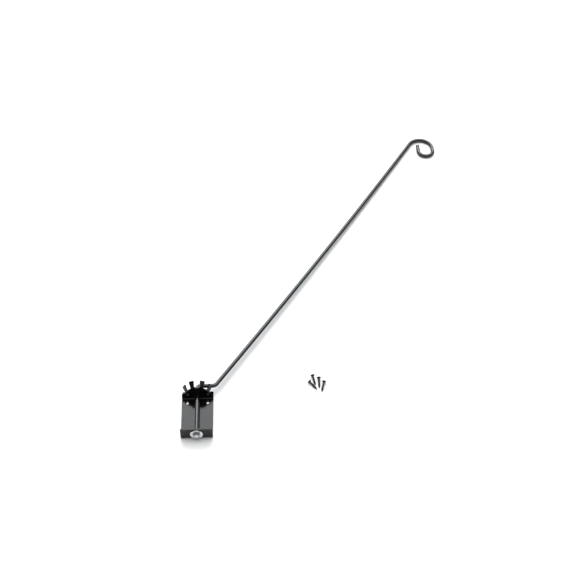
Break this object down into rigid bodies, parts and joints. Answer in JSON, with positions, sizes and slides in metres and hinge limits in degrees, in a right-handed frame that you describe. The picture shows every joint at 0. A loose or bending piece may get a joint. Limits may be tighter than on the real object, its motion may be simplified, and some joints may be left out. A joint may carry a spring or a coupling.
{
  "type": "swing-arm hanging bracket",
  "caption": "Wall bracket whose bent-rod arm lifts, swings over an index plate with upturned fingers and drops into a slot, with a curled hook for a hanging load.",
  "frame": {"origin": "centre of the four wall screw holes, on the wall plate's back face", "axes": "+Z out of the wall through the screw holes, +Y up the wall, +X to the right as seen facing the wall"},
  "size_m": [0.5633, 0.8286, 0.0426],
  "materials": {
    "powder_coat": "semi-gloss black powder coat",
    "powder_coat_rod": "semi-gloss black powder coat on round rod",
    "zinc": "bright zinc plate",
    "black_screw": "satin black coated steel"
  },
  "bodies": {
    "bracket": {"wall_bracket": "powder_coat", "index_plate": "powder_coat", "index_weld": "powder_coat", "screw_1": "black_screw", "screw_2": "black_screw", "screw_3": "black_screw", "screw_4": "black_screw"},
    "washer": {"retaining_washer": "zinc"},
    "arm": {"swing_arm": "powder_coat_rod", "lock_nut": "zinc"}
  },
  "joints": [
    {"name": "arm_lift", "type": "slide", "parent": "bracket", "child": "washer", "axis": [0, 1, 0], "range_m": [-0.0128, 0]},
    {"name": "arm_swing", "type": "hinge", "parent": "washer", "child": "arm", "pos_m": [0, 0, 0.014], "axis": [0, -1, 0], "range_deg": [0, 182.16]}
  ]
}
